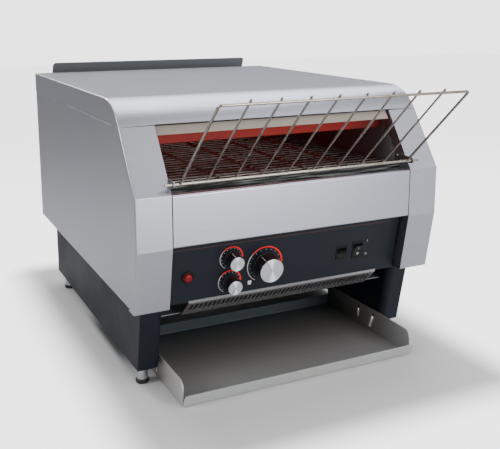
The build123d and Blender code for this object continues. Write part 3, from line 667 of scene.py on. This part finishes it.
def panelMarks():
    # plain marks: a slice of bread beside the speed dial, line and circle beside the power switch
    marks = {"sliceAt": (-24.0, -29.5), "sliceSize": 5.6, "lineAt": (189.5, 13.5), "circleAt": (189.5, -10.5),
             "lineWide": 0.4, "lineHigh": 2.2, "ring": 1.9, "ringWire": 0.35, "ringHigh": 0.05,
             "ringTurns": (0, 345, 23)}
    crust = {"shoulder": 0.2, "lobeOut": 0.28, "lobeUp": 0.42, "lobe": 0.3}      # shares of the slice's size
    stripe = {"left": -155.0, "right": 232.0, "low": 42.9, "high": 44.2}
    place = panelPlace("speed_knob_turn")
    (u, v), s = marks["sliceAt"], marks["sliceSize"]
    sliceOutline = [(u - s / 2, v - s / 2), (u + s / 2, v - s / 2), (u + s / 2, v + s * crust["shoulder"])]
    for side, turns in ((1, (120, -10)), (-1, (10, -120))):
        sliceOutline += arcPoints(u + side * s * crust["lobeOut"], v + s * crust["lobeUp"], s * crust["lobe"],
                                  *turns, 6)
    sliceOutline += [(u - s / 2, v + s * crust["shoulder"])]
    meshPiece("sliceSign", "toaster", whiteInk,
              [inkPlate(sliceOutline, place, inkFilm["foot"], inkFilm["face"])])
    (u, v), wide, high = marks["lineAt"], marks["lineWide"], marks["lineHigh"]
    parts = [inkPlate(bar(u - wide, u + wide, v - high, v + high), place, inkFilm["foot"], inkFilm["face"])]
    ring = [place(a * mm, b * mm, marks["ringHigh"] * mm)
            for a, b in arcPoints(*marks["circleAt"], marks["ring"], *marks["ringTurns"])]
    parts.append(tube(ring, marks["ringWire"] * mm, 6, closed=True))
    meshPiece("panelMarks", "toaster", greyInk, parts)
    meshPiece("panelRedLine", "toaster", redLineInk,
              [inkPlate(bar(stripe["left"], stripe["right"], stripe["low"], stripe["high"]), place,
                        inkFilm["foot"], inkFilm["thinFace"])])


panelMarks()


def knobMarks(name, radius, skirt, height, half, pointer):
    # the pointer line: over the cap, down the side and across the skirt, in millimetres and degrees
    line = {"capFrom": 0.5, "capShort": 1.4, "capSunk": 0.1, "capProud": 0.08,
            "sideFrom": 6.5, "sideShort": 3.0, "sideSunk": 0.6, "sideProud": 0.12,
            "footGap": 0.15, "footShort": 0.1, "footLow": 2.2, "footHigh": 3.2}
    place = panelPlace(name + "_turn")
    a = radians(pointer)

    def turned(u, v, w):
        return place(u * cos(a) + v * sin(a), -u * sin(a) + v * cos(a), w)

    def upright(u, v, w):
        return turned(u, w, v)

    top = bar(-half, half, line["capFrom"], radius - line["capShort"])
    side = bar(-half, half, line["sideFrom"], height - line["sideShort"])
    foot = bar(-half, half, radius + line["footGap"], skirt - line["footShort"])
    meshPiece(name + "CapLine", name, darkInk,
              [inkPlate(top, turned, (height - line["capSunk"]) * mm, (height + line["capProud"]) * mm)])
    meshPiece(name + "SideLine", name, whiteInk,
              [inkPlate(side, upright, (radius - line["sideSunk"]) * mm, (radius + line["sideProud"]) * mm),
               inkPlate(foot, turned, line["footLow"] * mm, line["footHigh"] * mm)])


heatKnob = {"radius": 11.6, "skirt": 13.2, "height": 22.5, "half": 0.4}
knobMarks("speed_knob", radius=19.7, skirt=21.4, height=25.0, half=0.5, pointer=-32)
knobMarks("top_heat_knob", **heatKnob, pointer=-15)
knobMarks("bottom_heat_knob", **heatKnob, pointer=-150)


def rockerMarks():
    # line and circle printed on the power rocker's two dished halves
    rocker = {"rest": 10.0, "middle": 4.3, "end": 6.4, "half": 10.15}    # tilt, face heights, half length
    marks = {"lineWide": 0.35, "lineFrom": 3.4, "lineTo": 6.8, "circleAt": (0, -5.2), "ring": 1.5,
             "ringWire": 0.4, "ringTurns": (0, 340, 17)}
    pivot = Vector(joints["power_rocker_tilt"]["pos_m"])
    right = Vector((1, 0, 0))
    panelOut = -Vector(joints["speed_knob_turn"]["axis"])
    rest = Matrix.Rotation(radians(rocker["rest"]), 3, "X")
    up, out = rest @ panelOut.cross(right), rest @ panelOut

    def face(u, v, w):
        dish = (rocker["middle"] + (rocker["end"] - rocker["middle"]) * abs(v / mm) / rocker["half"]) * mm
        return pivot + right * u + up * v + out * (dish + w)

    line = bar(-marks["lineWide"], marks["lineWide"], marks["lineFrom"], marks["lineTo"])
    ring = [face(u * mm, v * mm, 0.0)
            for u, v in arcPoints(*marks["circleAt"], marks["ring"], *marks["ringTurns"])]
    meshPiece("powerRockerMarks", "power_rocker", whiteInk,
              [inkPlate(line, face, inkFilm["foot"], inkFilm["thinFace"]),
               tube(ring, marks["ringWire"] * mm, 6, closed=True)])


rockerMarks()
print("panel printed")


# fasteners and small hardware

def hexScrew(origin, out, across=5.5):
    # sheet-metal screw: hexagon head on its own washer flange, sized as shares of the width across flats
    # and of the corners' radius, with heights in millimetres
    screw = {"flange": ((0.86, -0.3), (0.86, 0.5), (0.72, 0.9)), "head": ((1, 0.4), (1, 2.6), (0.86, 3.1))}
    width, corner = across * mm, across / 2 * mm / cos(pi / 6)
    return [lathe([(width * share, height * mm) for share, height in screw["flange"]], 20, origin, out),
            lathe([(corner * share, height * mm) for share, height in screw["head"]], 6, origin, out)]


def rearScrews():
    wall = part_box("rear_panel")
    rows = {"foot": (-248, -130, 130, 248), "sides": (-240, 240), "sideHeights": (210, 280, 345),
            "cover": (-212, -70, 70, 212), "footUp": 9, "coverUp": 333, "coverOut": 1.5}
    places = [(x * mm, wall[1].y, wall[0].z + rows["footUp"] * mm) for x in rows["foot"]]
    places += [(x * mm, wall[1].y, z * mm) for x in rows["sides"] for z in rows["sideHeights"]]
    places += [(x * mm, wall[1].y + rows["coverOut"] * mm, rows["coverUp"] * mm) for x in rows["cover"]]
    meshPiece("rearPanelScrews", "toaster", zincScrew,
              [form for place in places for form in hexScrew(place, (0, 1, 0))])


def baseScrews():
    rows = {"rear": (-190, 0, 190), "rearHeights": (44, 120), "side": (120, 330, 540), "sideUp": 128,
            "sideAcross": 4.6}
    rear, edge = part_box("base_rear")[1].y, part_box("right_base_side")[1].x
    parts = []
    for x in rows["rear"]:
        for z in rows["rearHeights"]:
            parts += hexScrew((x * mm, rear, z * mm), (0, 1, 0))
    for side in (-1, 1):
        for y in rows["side"]:
            parts += hexScrew((side * edge, frontY + y * mm, rows["sideUp"] * mm), (side, 0, 0),
                              rows["sideAcross"])
    meshPiece("baseScrews", "toaster", zincScrew, parts)


def bracketRivets():
    # solid rivets that hold the rack's two pivot plates
    rivet = {"places": ((24, 322), (34, 330)), "profile": ((2.6, 0.05), (2.4, -0.6), (1.5, -1.1))}
    face = abs(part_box("right_rack_bracket")[0].x)
    profile = [(radius * mm, height * mm) for radius, height in rivet["profile"]]
    parts = [lathe(profile, 16, (side * face, frontY + y * mm, z * mm), (side, 0, 0))
             for side in (-1, 1) for y, z in rivet["places"]]
    meshPiece("bracketRivets", "toaster", zincScrew, parts)


def feedRack():
    # round drawn wire, with a weld nugget where each wire crosses the rods that carry it
    rack = {"half": 195.0, "length": 183.5, "angle": 42.6, "outer": 1.98, "inner": 1.58, "rod": 2.0,
            "corner": 4.5, "wires": 10, "lift": 3.45, "overrun": 3.98, "rodHalf": 217.98, "nugget": 1.9,
            "rodNuggetUp": 2.1, "edgeNuggetUp": 1.9, "cornerNugget": 2.9, "steps": 8}
    pivot = Vector(joints["feed_rack_fold"]["pos_m"])
    tilt = radians(rack["angle"])
    along, lift = Vector((0, -cos(tilt), sin(tilt))), Vector((0, sin(tilt), cos(tilt)))

    def point(x, reach, height=0.0):
        return pivot + Vector((x * mm, 0, 0)) + along * reach * mm + lift * height * mm

    def bead(x, reach, height, size):
        turns = [pi * k / rack["steps"] for k in range(1, rack["steps"])]
        profile = [(size * mm * sin(turn), -size * mm * cos(turn)) for turn in turns]
        return lathe(profile, 12, point(x, reach, height), lift)

    bend, side, top = rack["corner"], rack["half"], rack["length"]
    quarter = [pi / 2 * k / rack["steps"] for k in range(rack["steps"] + 1)]
    left = [(-side + bend * (1 - cos(turn)), top - bend * (1 - sin(turn))) for turn in quarter]
    outline = [(-side, 0)] + left + [(-x, reach) for x, reach in reversed(left)] + [(side, 0)]
    parts = [tube([point(x, reach) for x, reach in outline], rack["outer"] * mm, 16),
             tube([point(-rack["rodHalf"], 0), point(rack["rodHalf"], 0)], rack["rod"] * mm, 20)]
    for i in range(rack["wires"]):
        x = -side + 2 * side * i / (rack["wires"] - 1)
        if 0 < i < rack["wires"] - 1:
            ends = [point(x, -rack["rod"], rack["lift"]), point(x, top + rack["overrun"], rack["lift"])]
            parts += [tube(ends, rack["inner"] * mm, 14), bead(x, 0, rack["rodNuggetUp"], rack["nugget"]),
                      bead(x, top, rack["edgeNuggetUp"], rack["nugget"])]
        else:
            parts.append(bead(x, 0, 0, rack["cornerNugget"]))
    piece = meshPiece("rackWires", "feed_rack", finishes["rack_wire"], parts, sharpAngle=50)
    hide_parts("feed_rack")


rearScrews()
baseScrews()
bracketRivets()
feedRack()
print("hardware placed")


# floor and light

def studio():
    stage = {"paper": "#D0D0D0", "under": "#5C5E60", "shelter": (0.245, 0.17), "soft": (0.015, 0.13),
             "size": 14.0, "below": 0.2, "paperLift": 2.4, "liftFrom": 0.0, "liftTo": 0.10, "tall": 1.0,
             "roomLight": 0.52, "rearLight": 0.33, "rearFrom": 0.2, "rearTo": 0.95, "backdrop": 3.0}
    floor = bpy.data.objects.new("paleFloor", bpy.data.meshes.new("paleFloor"))
    half = stage["size"] / 2
    corners = [(-half, -half, 0), (half, -half, 0), (half, half, 0), (-half, half, 0)]
    floor.data.from_pydata(corners, [], [(0, 1, 2, 3)])
    bpy.context.scene.collection.objects.link(floor)
    floor.location.z = -stage["below"] * mm
    material, tree, shader, place = newMaterial("paleStudioPaper", {
        "Roughness": 0.9, "Emission Color": (1, 1, 1, 1)})
    # paper that fades to near white away from the object, and lights it as plain paper
    footprint = Vector((cadBox[1].x, cadBox[1].y, stage["tall"]))
    flat = addNode(tree, "ShaderNodeVectorMath", {"operation": "ABSOLUTE"}, {0: place})
    beyond = addNode(tree, "ShaderNodeVectorMath", {"operation": "SUBTRACT"}, {
        0: flat.outputs["Vector"], 1: footprint})
    outside = addNode(tree, "ShaderNodeVectorMath", {"operation": "MAXIMUM"}, {0: beyond.outputs["Vector"]})
    distance = addNode(tree, "ShaderNodeVectorMath", {"operation": "LENGTH"}, {0: outside.outputs["Vector"]})
    fade = addNode(tree, "ShaderNodeMapRange", {"interpolation_type": "SMOOTHSTEP"}, {
        "Value": distance.outputs["Value"], "From Min": stage["liftFrom"], "From Max": stage["liftTo"],
        "To Min": 0.0, "To Max": stage["paperLift"]})
    # painted shadow: the counter between the base sides darkened, as it is hardly lit
    where = addNode(tree, "ShaderNodeSeparateXYZ", inputs={"Vector": flat.outputs["Vector"]})
    across, along = [addNode(tree, "ShaderNodeMapRange", {"interpolation_type": "SMOOTHSTEP"}, {
        "Value": where.outputs[side], "From Min": reach - soft, "From Max": reach,
        "To Min": 1.0, "To Max": 0.0}).outputs["Result"]
        for side, reach, soft in zip("XY", stage["shelter"], stage["soft"])]
    both = addNode(tree, "ShaderNodeMath", {"operation": "MULTIPLY"}, {0: across, 1: along})
    shade = addNode(tree, "ShaderNodeMix", {"data_type": "RGBA"}, {
        "Factor": both.outputs["Value"], "A": linearColour(stage["paper"]),
        "B": linearColour(stage["under"])})
    tree.links.new(shade.outputs["Result"], shader.inputs["Base Color"])
    seen = addNode(tree, "ShaderNodeLightPath").outputs["Is Camera Ray"]
    lift = addNode(tree, "ShaderNodeMath", {"operation": "MULTIPLY"}, {0: fade.outputs["Result"], 1: seen})
    tree.links.new(lift.outputs["Value"], shader.inputs["Emission Strength"])
    floor.data.materials.append(material)

    world = bpy.data.worlds.new("softStudio")
    bpy.context.scene.world = world
    world.use_nodes = True
    background = world.node_tree.nodes["Background"]
    background.inputs["Color"].default_value = (1, 1, 1, 1)
    # a room that is a little darker behind the object
    heading = addNode(world.node_tree, "ShaderNodeTexCoord").outputs["Generated"]
    towards = addNode(world.node_tree, "ShaderNodeSeparateXYZ", inputs={"Vector": heading})
    room = addNode(world.node_tree, "ShaderNodeMapRange", inputs={
        "Value": towards.outputs["Y"], "From Min": stage["rearFrom"], "From Max": stage["rearTo"],
        "To Min": stage["roomLight"], "To Max": stage["rearLight"]})
    seen = addNode(world.node_tree, "ShaderNodeLightPath").outputs["Is Camera Ray"]
    power = addNode(world.node_tree, "ShaderNodeMapRange", inputs={
        "Value": seen, "To Min": room.outputs["Result"], "To Max": stage["backdrop"]})
    world.node_tree.links.new(power.outputs["Result"], background.inputs["Strength"])

    # metres, watts and degrees; a narrow spread, like a grid on the lamp, keeps its light off the floor
    lamps = {"overhead": {"at": (0.6, 1.05, 2.2), "size": 2.2, "power": 23, "aim": (0, 0, 0.3),
                          "spread": 110},
             "left": {"at": (-2.4, -0.1, 1.75), "size": 1.4, "power": 4.6, "aim": (-0.26, -0.15, 0.72),
                      "spread": 46},
             "leftRear": {"at": (-0.86, 2.7, 1.9), "size": 1.0, "power": 3.2, "aim": (-0.15, 0.1, 0.44),
                          "spread": 40},
             "front": {"at": (0.65, -2.55, 0.7), "size": 1.5, "power": 25, "aim": (0, 0, 0.2), "spread": 120},
             "frontAbove": {"at": (1.4, -1.6, 2.3), "size": 2.0, "power": 14, "aim": (0, 0, 0.2),
                            "spread": 180}}
    for name, lamp in lamps.items():
        data = bpy.data.lights.new(name, "AREA")
        data.shape = "SQUARE"
        data.size = lamp["size"]
        data.energy = lamp["power"]
        data.spread = radians(lamp["spread"])
        light = bpy.data.objects.new(name, data)
        bpy.context.scene.collection.objects.link(light)
        light.location = lamp["at"]
        light.rotation_euler = (Vector(lamp["aim"]) - Vector(lamp["at"])).to_track_quat("-Z", "Y").to_euler()


studio()
print("studio lit")
